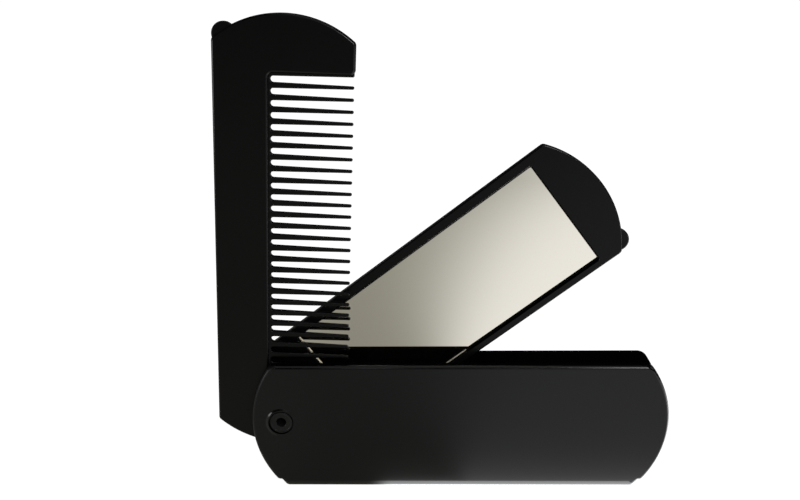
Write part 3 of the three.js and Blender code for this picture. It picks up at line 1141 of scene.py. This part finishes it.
@dataclass
class Comb(Blade):
    """The comb: a thick back with its heel and head, and a thinner band of tapered teeth."""

    opening: float = 87.2
    reach: float = 103.0
    end_radius: float = 26.0
    pitch: float = 2.87
    teeth: int = 26
    last_gap: float = 87.76
    root_gap: float = 1.5
    tip_width: float = 0.8
    tip_line: float = -16.8
    root_line: float = 3.2
    root_thickness: float = 1.5
    tip_thickness: float = 0.8
    tooth_round: float = 0.25
    ledge: float = 0.5
    band_sink: float = 3.0
    notch_radius: float = 1.4
    step_reach: float = 1.6
    step_rise: float = 1.0
    nub_root: float = 4.35
    nub_lean: float = 0.3
    weld: float = 0.01
    # Closer than this, corners of a face, points of a tooth and points of the welded band are one.
    same_corner: float = 1e-5
    same_point: float = 1e-4
    same_joint: float = 1e-3
    tip_steps: int = 6
    root_steps: int = 8
    edge_steps: int = 4
    flank_shares: tuple[float, ...] = (0.2, 0.4, 0.6, 0.8, 0.96)

    @property
    def middle(self) -> float:
        """The middle of the comb's thickness."""
        return (self.layers.comb_front + self.layers.comb_back) / 2

    @property
    def first_gap(self) -> float:
        """Where the gap nearest the heel lies."""
        return self.last_gap - self.pitch * self.teeth

    def build(self) -> None:
        """Makes the comb and puts it in place, with its step and the root of its nub left matte."""
        front, back = self.layers.comb_front, self.layers.comb_back
        swing = self.hinge.swing(self.opening)
        nub = self._nub(self.reach, self.end_radius, 1, self.middle)
        body = self._slab(self._back_view(), front, back).join(self._toothing()).join(nub)
        body = body.cut(self._hole(front, back)).moved(swing)
        foot, head = (swing @ Vector((gap, 0, self.root_line)) for gap in (self.first_gap, self.last_gap))
        reach = Vector((self.step_reach, self.layers.mirror_back, self.step_rise))
        step = Region(self.finish, high=0.0, box=(foot - reach, head + reach))
        nub_at = swing @ Vector((self.reach - self.nub_radius, 0, self.half_width - self.nub_radius))
        root = Region(self.finish, high=-self.nub_lean, box=around(nub_at, Vector((1, 1, 1)) * self.nub_root))
        regions = (edges(self.polish), step, root)
        Piece("comb_blade", body, self.finish, Ride.COMB, "blade_plastic", "comb", regions).place()

    def _back_view(self) -> list[Vector]:
        """Side view of the thick back, open where the band of teeth is."""
        wall = (self.pitch - self.tip_width) / 2 + self.ledge
        start, end, line = self.first_gap - wall, self.last_gap + wall, self.root_line + self.ledge
        return outline([
            *self._ends(self.reach, self.end_radius),
            Corner(start, -self.half_width, self.corner_radius),
            Corner(start, line, self.notch_radius),
            Corner(end, line, self.notch_radius),
            Corner(end, -self.half_width, self.corner_radius),
        ])

    def _half_tooth(self) -> list[tuple[Vector, Vector]]:
        """One side of a tooth, from the middle of its tip to the middle of the gap beside it.

        Returns:
            Pairs of a point and the direction into the tooth there.
        """
        tip, root = self.tip_width / 2, self.root_gap / 2
        points = []
        for sine, cosine in quarter(self.tip_steps):
            inward = Vector((-sine, cosine))
            points.append((Vector((0, self.tip_line + tip)) - inward * tip, inward))
        low = Vector((tip, self.tip_line + tip))
        high = Vector((self.pitch / 2 - root, self.root_line - root))
        lean = (high - low).normalized()
        inward = Vector((-lean.y, lean.x))
        points += [(low.lerp(high, share), inward) for share in self.flank_shares]
        for sine, cosine in quarter(self.root_steps):
            inward = Vector((-cosine, sine))
            points.append((Vector((self.pitch / 2, self.root_line - root)) + inward * root, inward))
        return points

    def _half_thickness(self, line: float) -> float:
        """Half the band's thickness at a distance across the blade."""
        share = min(1.0, max(0.0, (line - self.tip_line) / (self.root_line - self.tip_line)))
        return (self.tip_thickness + (self.root_thickness - self.tip_thickness) * share) / 2

    def _sections(self, mirror: int) -> list[list[Vector]]:
        """Rows of points along one side of a tooth, one row for each ring round its edge.

        Args:
            mirror: 1 for the side towards the head, -1 for the side towards the heel.

        Returns:
            The rows, from the front face round the edge to the back face.
        """
        rows = []
        for side in (-1, 1):
            half = []
            for sine, cosine in quarter(self.edge_steps):
                draw, lift = self.tooth_round * (1 - sine), self.tooth_round * (1 - cosine)
                row = []
                for point, inward in self._half_tooth():
                    at = point + inward * draw
                    y = self.middle + side * (self._half_thickness(at.y) - lift)
                    row.append(Vector((mirror * max(at.x, 0), y, at.y)))
                half.append(row)
            rows += half if side < 0 else half[::-1]
        return rows

    def _tooth(self) -> Body:
        """One tooth with its share of the band, open where its neighbours join it."""
        form = bmesh.new()
        sides = [[[form.verts.new(p) for p in row] for row in self._sections(m)] for m in (-1, 1)]
        self._skin(form, *sides)
        return self._finished(form)

    def _end_slab(self, mirror: int) -> Body:
        """The band's end by the heel (1) or the head (-1): half a tooth that runs on into the comb's back."""
        form = bmesh.new()
        run = (self.pitch - self.tip_width) / 2 + self.ledge + self.band_sink - self.pitch / 2
        near = [[form.verts.new(p) for p in row] for row in self._sections(mirror)]
        far = [[form.verts.new((-mirror * run, p.co.y, p.co.z)) for p in row] for row in near]
        self._skin(form, far, near)
        return self._finished(form)

    def _skin(self, form: bmesh.types.BMesh, left: list, right: list) -> None:
        """Covers a tooth or an end slab with faces, from rows of points on its two sides."""
        top = self.root_line + self.ledge + self.band_sink
        for rows in (left, right):
            for low, high in zip(rows, rows[1:]):
                for i in range(len(low) - 1):
                    self._face(form, low[i], low[i + 1], high[i + 1], high[i])
        for low_left, high_left, low_right, high_right in zip(left, left[1:], right, right[1:]):
            self._face(form, low_left[0], high_left[0], high_right[0], low_right[0])
        lids = []
        for row_left, row_right in ((left[0], right[0]), (left[-1], right[-1])):
            for i in range(len(row_left) - 1):
                self._face(form, row_left[i], row_left[i + 1], row_right[i + 1], row_right[i])
            ends = [row_left[-1], row_right[-1]]
            over = [form.verts.new((v.co.x, v.co.y, top)) for v in ends]
            self._face(form, ends[0], over[0], over[1], ends[1])
            lids.append(over)
        self._face(form, *lids[0], *reversed(lids[1]))

    def _face(self, form: bmesh.types.BMesh, *corners: bmesh.types.BMVert) -> None:
        """Adds a face, without corners that fall together."""
        kept = []
        for corner in corners:
            if all((corner.co - other.co).length > self.same_corner for other in kept):
                kept.append(corner)
        if len(kept) > 2:
            form.faces.new(kept)

    def _finished(self, form: bmesh.types.BMesh) -> Body:
        """The form as a body, with its doubles merged."""
        bmesh.ops.remove_doubles(form, verts=form.verts, dist=self.same_point)
        mesh = bpy.data.meshes.new("toothing")
        form.to_mesh(mesh)
        form.free()
        return Body(mesh)

    def _toothing(self) -> Body:
        """The band with all its teeth, repeated by Geometry Nodes and closed.

        Returns:
            The band as one closed body in the blade's own frame.
        """
        form = bmesh.new()
        for side, gap in ((1, self.first_gap), (-1, self.last_gap)):
            place = Matrix.Translation((gap - side * self.pitch / 2, 0, 0))
            form.from_mesh(self._end_slab(side).moved(place).mesh)
        ends = bpy.data.meshes.new("band_ends")
        form.to_mesh(ends)
        form.free()
        holder, tooth = linked("band", ends), linked("tooth", self._tooth().mesh)
        sizes = {
            "Tooth": ("Object", tooth),
            "Count": ("Int", self.teeth),
            "Pitch": ("Float", self.pitch),
            "First tooth": ("Float", self.first_gap + self.pitch / 2),
            "Weld distance": ("Float", self.weld),
            "Material": ("Material", self.finish),
        }
        repeat = holder.modifiers.new("teeth", "NODES")
        repeat.node_group, keys = self._tree({name: kind for name, (kind, _) in sizes.items()})
        for name, (_, value) in sizes.items():
            repeat[keys[name]] = value
        mesh = plain_mesh(holder)
        holder.modifiers.remove(repeat)
        for part in (holder, tooth):
            bpy.data.objects.remove(part)
        return self._closed(mesh)

    def _closed(self, mesh: Mesh) -> Body:
        """The band with its open ends filled and its faces pointing outwards."""
        form = bmesh.new()
        form.from_mesh(mesh)
        bmesh.ops.remove_doubles(form, verts=form.verts, dist=self.same_joint)
        open_edges = [edge for edge in form.edges if len(edge.link_faces) == 1]
        bmesh.ops.holes_fill(form, edges=open_edges, sides=0)
        bmesh.ops.recalc_face_normals(form, faces=form.faces)
        rest = [edge for edge in form.edges if len(edge.link_faces) != 2]
        LOG.info("toothing: %d faces, %d open edges", len(form.faces), len(rest))
        form.to_mesh(mesh)
        form.free()
        return Body(mesh)

    @staticmethod
    def _tree(kinds: dict[str, str]) -> tuple[bpy.types.NodeTree, dict[str, str]]:
        """The node tree that repeats a tooth along a line and welds it to its neighbours.

        Args:
            kinds: The kind of each named input but the geometry itself.

        Returns:
            The tree, and the identifier of each named input.
        """
        tree = bpy.data.node_groups.new("Comb toothing", "GeometryNodeTree")
        keys = {}
        for name, kind in {"Geometry": "Geometry", **kinds}.items():
            socket = tree.interface.new_socket(name, in_out="INPUT", socket_type="NodeSocket" + kind)
            keys[name] = socket.identifier
        tree.interface.new_socket("Geometry", in_out="OUTPUT", socket_type="NodeSocketGeometry")

        def add(kind: str, **links: bpy.types.NodeSocket) -> bpy.types.Node:
            """Adds a node and links its sockets by name, with spaces written as underscores."""
            made = tree.nodes.new(kind)
            for name, source in links.items():
                tree.links.new(source, made.inputs[name.replace("_", " ")])
            return made

        given = tree.nodes.new("NodeGroupInput").outputs
        start = add("ShaderNodeCombineXYZ", X=given["First tooth"]).outputs[0]
        step = add("ShaderNodeCombineXYZ", X=given["Pitch"]).outputs[0]
        line = add("GeometryNodeMeshLine", Count=given["Count"], Start_Location=start, Offset=step)
        shape = add("GeometryNodeObjectInfo", Object=given["Tooth"])
        row = add("GeometryNodeInstanceOnPoints", Points=line.outputs[0], Instance=shape.outputs["Geometry"])
        both = add("GeometryNodeJoinGeometry", Geometry=row.outputs[0])
        tree.links.new(given["Geometry"], both.inputs[0])
        real = add("GeometryNodeRealizeInstances", Geometry=both.outputs[0])
        weld = add("GeometryNodeMergeByDistance", Geometry=real.outputs[0], Distance=given["Weld distance"])
        paint = add("GeometryNodeSetMaterial", Geometry=weld.outputs[0], Material=given["Material"])
        add("NodeGroupOutput", Geometry=paint.outputs[0])
        return tree, keys


class GlassFace(Enum):
    """The looks of the glass's faces, by material index."""

    PANE = 0
    SILVER = 1
    GROUND = 2
    # Black on part of the lower edge, as painted shade.
    PAINTED_SHADE = 3


@dataclass(kw_only=True)
class Mirror(Blade):
    """The mirror: a tray with a pocket, the glass in it, and the foam pad that holds the glass."""

    silver_finish: Material
    pane_finish: Material
    edge_finish: Material
    foam_finish: Material
    front_round: float = 0.35
    opening: float = 37.0
    reach: float = 102.0
    end_radius: float = 27.0
    glass_start: float = 16.3
    glass_end: float = 90.5
    glass_half: float = 14.45
    glass_low: float = 15.35
    undercut: float = 0.25
    # From here on the glass's lower edge gets the black tray finish: painted shade for the dark gap below the
    # glass.
    painted_shade_from: float = 49.0
    glass_corner: float = 0.5
    glass_break: float = 0.15
    # How far a face of the pane, of the bevel and of the lower edge looks forwards or down at least.
    pane_lean: float = 0.9
    bevel_lean: float = 0.3
    under_lean: float = 0.5
    pocket_clearance: float = 0.12
    silver_depth: float = 0.7
    silver_thickness: float = 0.05
    low_share: float = 1.012
    silver_inset: float = 0.02
    lip_break: float = 0.12
    pad_inset: float = 1.5
    pad_round: float = 0.1
    corner_steps: int = 6
    pad_steps: int = 3

    def build(self) -> None:
        """Makes the tray, the glass and the pad and puts them in place."""
        swing = self.hinge.swing(self.opening)
        tray, pad = self._tray().moved(swing), self._pad().moved(swing)
        regions = (edges(self.polish),)
        Piece("mirror_tray", tray, self.finish, Ride.MIRROR, "blade_plastic", "mirror_frame", regions).place()
        for name, body in (("looking_glass", self._glass()), ("silvering", self._silvering())):
            body = body.moved(swing)
            Piece(name, body, self.silver_finish, Ride.MIRROR, "mirror_glass", "mirror_glass").place()
        Piece("foam_pad", pad, self.foam_finish, Ride.MIRROR, "foam_tape", "mirror_adhesive_pad").place()

    def _rectangle(self, grow: float, raised: float = 0.0) -> list[Vector]:
        """The glass's outline, grown or drawn in on every side, with its lower side raised."""
        low, high = -self.glass_low - grow + raised, self.glass_half + grow
        start, end = self.glass_start - grow, self.glass_end + grow
        radius = self.glass_corner + max(grow, 0)
        return outline([
            Corner(start, low, radius), Corner(self.painted_shade_from, low, 0), Corner(end, low, radius),
            Corner(end, high, radius), Corner(start, high, radius),
        ], self.corner_steps)

    def _tray(self) -> Body:
        """The tray, whose pocket has a lightly broken lip."""
        front, back = self.layers.mirror_front, self.layers.mirror_back
        nub = self._nub(self.reach, self.end_radius, -1, (front + back) / 2)
        pocket = Body.plate(self._rectangle(self.pocket_clearance), [
            (-self.lip_break - OVERLAP, front - OVERLAP),
            (0, front + self.lip_break),
            (0, self.layers.pad_back),
        ])
        side = outline(self._ends(self.reach, self.end_radius))
        side = [Vector((p.x, p.y * self.low_share if p.y < 0 else p.y)) for p in side]
        slab = self._slab(side, front, back)
        return slab.join(nub).cut(pocket).cut(self._hole(front, back))

    def _silvering(self) -> Body:
        """The silver layer, which lies deep in the glass and so is seen through its whole thickness."""
        front = self.layers.glass_front + self.silver_depth
        side = self._rectangle(-self.silver_inset, self._raised(front))
        return Body.plate(side, [(0, front), (0, front + self.silver_thickness)])

    def _raised(self, y: float) -> float:
        """How far the glass's lower side, which slants outwards to the back, lies up at a depth."""
        front, back = self.layers.glass_front, self.layers.glass_back
        return self.undercut * (1 - (y - front) / (back - front))

    def _glass(self) -> Body:
        """The glass: a clear front face, polished bevels, and ground edges; part of the lower edge is black,
        as painted shade.
        """
        cut, front, back = self.glass_break, self.layers.glass_front, self.layers.glass_back
        rows = []
        for draw, y in ((cut, front), (0.0, front + cut), (0.0, back - cut), (cut, back)):
            rows.append([(p.x, y, p.y) for p in inset(self._rectangle(0, self._raised(y)), draw)])
        body = Body.lofted(rows)
        for finish in (self.pane_finish, self.silver_finish, self.edge_finish, self.finish):
            body.mesh.materials.append(finish)
        for face in body.mesh.polygons:
            face.material_index = self._look(face).value
        return body

    def _look(self, face: bpy.types.MeshPolygon) -> GlassFace:
        """The look of one of the glass's faces."""
        if face.normal.y < -self.pane_lean:
            return GlassFace.PANE
        # Painted shade: the lower edge past this point is black.
        if face.normal.z < -self.under_lean and face.center.x > self.painted_shade_from:
            return GlassFace.PAINTED_SHADE
        return GlassFace.SILVER if face.normal.y < -self.bevel_lean else GlassFace.GROUND

    def _pad(self) -> Body:
        """The foam pad, with its soft edges rounded."""
        return Body.plate(self._rectangle(-self.pad_inset), [
            *rounded_edge(self.layers.glass_back, self.pad_round, Side.FRONT, self.pad_steps),
            *rounded_edge(self.layers.pad_back, self.pad_round, Side.BACK, self.pad_steps),
        ])


# The studio


@dataclass(frozen=True)
class Softbox:
    """One soft rectangular lamp that points at the object."""

    name: str
    azimuth: float
    elevation: float
    distance: float
    width: float
    height: float
    radiance: float
    target: Triple = (0, 0, 50)

    def light(self) -> None:
        """Puts the lamp in the scene. Azimuth 0 is in front of the case, and 90 is on its right."""
        turn, rise = math.radians(self.azimuth), math.radians(self.elevation)
        way = Vector((math.sin(turn) * math.cos(rise), -math.cos(turn) * math.cos(rise), math.sin(rise)))
        lamp = bpy.data.lights.new(self.name, "AREA")
        lamp.shape = "RECTANGLE"
        lamp.size, lamp.size_y = self.width * MM, self.height * MM
        lamp.energy = self.radiance * math.pi * lamp.size * lamp.size_y
        holder = linked(self.name, lamp)
        holder.location = (Vector(self.target) + way * self.distance) * MM
        holder.rotation_mode = "QUATERNION"
        holder.rotation_quaternion = way.to_track_quat("Z", "Y")
        holder.visible_camera = False


@dataclass
class Studio:
    """A pale floor under a white surround, with soft lamps.

    The floor is white to the eye. In a reflection it is white on the right and shades off to a dim,
    slightly warm grey on the left and far away, as the room does that the mirror shows.
    """

    floor_size: float = 24000.0
    floor_drop: float = 0.02
    shadow_share: float = 0.22
    floor_tone: float = 0.8
    white_lift: float = 1.23
    shade: Colour = (0.283, 0.281, 0.252)
    bright: Colour = (0.975, 0.975, 0.99)
    # Where the mirrored floor turns from bright to shade, and how sharply.
    shade_centre: Pair = (1.93, -4.37)
    shade_sharpness: float = 12.66
    shade_blur: float = 120.0
    shade_slope: float = 0.0084
    shade_shift: float = 0.878
    slope_end: float = -400.0
    # Where it dims with distance.
    fade_ends: Pair = (600.0, 1900.0)
    fade_depth: float = 0.93
    # Its brighter patches before the case, by the foot and far left, and its shade behind the case.
    case_depth: Pair = (6.0, 20.0)
    hot_width: Pair = (-36.0, 0.0)
    hot_depth: Pair = (-24.0, -7.0)
    hot_glow: float = 1.2
    contact_width: Pair = (-24.5, -17.5)
    contact_depth: Pair = (-9.0, -6.8)
    contact_glow: float = 3.6
    left_width: Pair = (-60.0, -36.0)
    left_depth: Pair = (-150.0, -60.0)
    left_glow: float = 0.35
    rear_depth: Pair = (16.0, 40.0)
    rear_shade: float = 0.65
    # The surround: to the eye, as a band behind the object, and elsewhere.
    surround_lift: float = 1.03
    behind_turn: Pair = (-0.1, 0.35)
    behind_rise: Pair = (0.0, 0.08)
    ambient: float = 0.5
    dim: float = 0.014
    behind: float = 0.15
    softboxes: list[Softbox] = field(default_factory=lambda: [
        Softbox("right box", 24, 29, 700, 150, 240, 8.5),
        Softbox("middle box", 8, 29, 700, 90, 240, 0.5),
        Softbox("left box", -6, 29, 700, 40, 240, 1.5),
        Softbox("low left box", -62, 8, 700, 500, 190, 3.6, (-46, 0, 18)),
        Softbox("right side box", 78, 28, 700, 260, 300, 1.0),
        Softbox("overhead box", 10, 75, 800, 500, 500, 0.5),
    ])

    def build(self) -> None:
        """Makes the floor, the surround and the lamps."""
        half, drop = self.floor_size * MM / 2, self.floor_drop * MM
        mesh = bpy.data.meshes.new("studio_floor")
        corners = [(x * half, y * half, -drop) for x, y in ((-1, -1), (1, -1), (1, 1), (-1, 1))]
        mesh.from_pydata(corners, [], [(0, 1, 2, 3)])
        mesh.materials.append(new_material("Studio floor", self._floor_shader))
        floor = linked("studio_floor", mesh)
        world = bpy.data.worlds.new("Surround")
        bpy.context.scene.world = world
        world.use_nodes = True
        graph = ShaderGraph(world.node_tree)
        graph.finish(self._surround_shader(graph), "ShaderNodeOutputWorld")
        for box in self.softboxes:
            box.light()
        LOG.info("studio: floor, surround and %d softboxes", len(self.softboxes))

    @staticmethod
    def _rays(graph: ShaderGraph) -> tuple[Signal, Signal]:
        """Whether a ray comes from the camera or through glass, and whether it is a reflection."""
        camera = graph.node("ShaderNodeLightPath", {}, {}, "Is Camera Ray")
        outputs = camera.socket.node.outputs
        clear = camera.math("MAXIMUM", Signal(graph, outputs["Is Transmission Ray"]))
        return clear, Signal(graph, outputs["Is Glossy Ray"])

    def _mirrored_floor(self, graph: ShaderGraph) -> tuple[Signal, Signal]:
        """The floor as a reflection sees it.

        Returns:
            Its colour and its strength.
        """
        x, y, _ = graph.split(graph.coordinates())
        across, ahead = x - self.shade_centre[0], y - self.shade_centre[1]
        reach = (across * across + ahead * ahead + self.shade_blur) ** 0.5
        lean = across / reach * self.shade_sharpness
        lean = lean + y.limited(self.slope_end, 0.0) * self.shade_slope + self.shade_shift
        lit = 1 / (1 + (lean * -1).math("EXPONENT"))
        far = reach.smooth(*self.fade_ends) * self.fade_depth
        before_case = 1 - y.smooth(*self.case_depth)
        contact = x.smooth(*self.contact_width) * y.smooth(*self.contact_depth) * before_case
        glow = x.smooth(*self.hot_width) * y.smooth(*self.hot_depth) * before_case * self.hot_glow
        glow = glow + contact * self.contact_glow
        glow = glow + (1 - x.smooth(*self.left_width)) * y.smooth(*self.left_depth) * self.left_glow
        rear = 1 - y.smooth(*self.rear_depth) * self.rear_shade
        colour = graph.blend(lit.math("MAXIMUM", contact), self.shade, self.bright)
        return colour, (1 - far) * rear * (glow + 1)

    def _floor_shader(self, graph: ShaderGraph) -> Signal:
        """White to the eye, with the object's shadow; shaded in a reflection."""
        clear, glossy = self._rays(graph)
        colour, strength = self._mirrored_floor(graph)
        seen = graph.blend(glossy, WHITE, colour)
        brightness = glossy * strength + (1 - glossy) * self.white_lift
        glow = graph.node("ShaderNodeEmission", {}, {"Color": seen, "Strength": brightness})
        matt = graph.node("ShaderNodeBsdfDiffuse", {}, {"Color": (self.floor_tone,) * 3})
        shown = (clear * (1 - self.shadow_share)).math("MAXIMUM", glossy)
        return graph.node("ShaderNodeMixShader", {}, {0: shown, 1: matt, 2: glow})

    def _surround_shader(self, graph: ShaderGraph) -> Signal:
        """White to the eye; a reflection sees a low white band behind the object and a dim room."""
        clear, glossy = self._rays(graph)
        way = graph.node("ShaderNodeTexCoord", {}, {}, "Generated")
        _, y, z = graph.split(way)
        behind = y.smooth(*self.behind_turn) * (1 - z.smooth(*self.behind_rise)) * self.behind
        mirrored = behind * (1 - self.dim) + self.dim
        soft = (1 - clear) * (1 - glossy) * self.ambient
        strength = clear * self.surround_lift + glossy * mirrored + soft
        return graph.node("ShaderNodeBackground", {}, {"Color": WHITE, "Strength": strength})


@dataclass(frozen=True)
class PhotoCamera:
    """The camera at the photograph's place, in millimetres."""

    eye: Triple = (-9.891, -206.792, 122.867)
    aim: Triple = (-15.043, 0, 63.621)
    roll: float = -0.654
    focal_pixels: float = 856.267
    picture_width: float = 800
    sensor: float = 36.0
    clip: Pair = (0.005, 50.0)

    def build(self) -> None:
        """Puts the camera in the scene."""
        forward = (Vector(self.aim) - Vector(self.eye)).normalized()
        level = forward.cross(Vector((0, 0, 1))).normalized()
        upright = level.cross(forward)
        turn = math.radians(self.roll)
        right = level * math.cos(turn) + upright * math.sin(turn)
        up = right.cross(forward)
        lens = bpy.data.cameras.new("photo_camera")
        lens.sensor_fit = "HORIZONTAL"
        lens.sensor_width = self.sensor
        lens.lens = self.focal_pixels * self.sensor / self.picture_width
        lens.clip_start, lens.clip_end = self.clip
        camera = linked("photo_camera", lens)
        facing = Matrix((right, up, -forward)).transposed().to_4x4()
        camera.matrix_world = Matrix.Translation(Vector(self.eye) * MM) @ facing
        bpy.context.scene.camera = camera
        LOG.info("camera: lens %.2f mm", lens.lens)


def main() -> None:
    """Builds the camera, the object and the studio, in that order."""
    logging.basicConfig(level=logging.INFO, format="%(message)s")
    PhotoCamera().build()
    layers, hinge = Layers(), Hinge()
    fine, coarse = {"grain_size": 0.16, "depth": 0.006}, {"grain_size": 0.3, "depth": 0.01}
    black = grey(0.0045, 0.0047)
    case_plastic = MouldedPlastic("Satin black plastic", black, roughness=0.38, gloss=0.26, **fine)
    # Painted shade: a darker black without reflections, for the faces inside the slot and on top.
    painted_shade = MouldedPlastic("Painted shade, dull black inside the slot and on top", grey(0.001), roughness=0.5, gloss=0.0, **fine)
    blade_plastic = MouldedPlastic("Matte black plastic", grey(0.002, 0.0021))
    tray_plastic = MouldedPlastic("Matte black tray plastic", grey(0.002, 0.0021), gloss=0.16)
    nylon = MouldedPlastic("Black nylon", grey(0.01), roughness=0.55, spread=0.1, gloss=0.4, **coarse)
    case_polish = PolishedPlastic("Polished case edges", grey(0.001))
    blade_polish = PolishedPlastic("Polished blade edges", grey(0.001), roughness=0.18, gloss=0.4).material()
    pivot = hinge.x, hinge.z
    rivet = Lacquer("Black rivet lacquer", grey(0.008), roughness=0.24, centre=pivot)
    washer = Lacquer("Black washer lacquer", grey(0.012), roughness=0.32, centre=pivot)
    Case(layers, hinge, case_plastic.material(), case_polish.material(), painted_shade.material()).build()
    Pivot(layers, hinge, rivet.material(), washer.material(), nylon.material()).build()
    Comb(layers, hinge, blade_plastic.material(), blade_polish).build()
    glass = {
        "silver_finish": SilveredGlass().material(),
        "pane_finish": ClearPane().material(),
        "edge_finish": GroundEdge().material(),
        "foam_finish": FoamTape().material(),
    }
    Mirror(layers, hinge, tray_plastic.material(), blade_polish, **glass).build()
    Studio().build()
    view = bpy.context.scene.view_settings
    view.view_transform = "Standard"


if __name__ == "__main__":
    main()
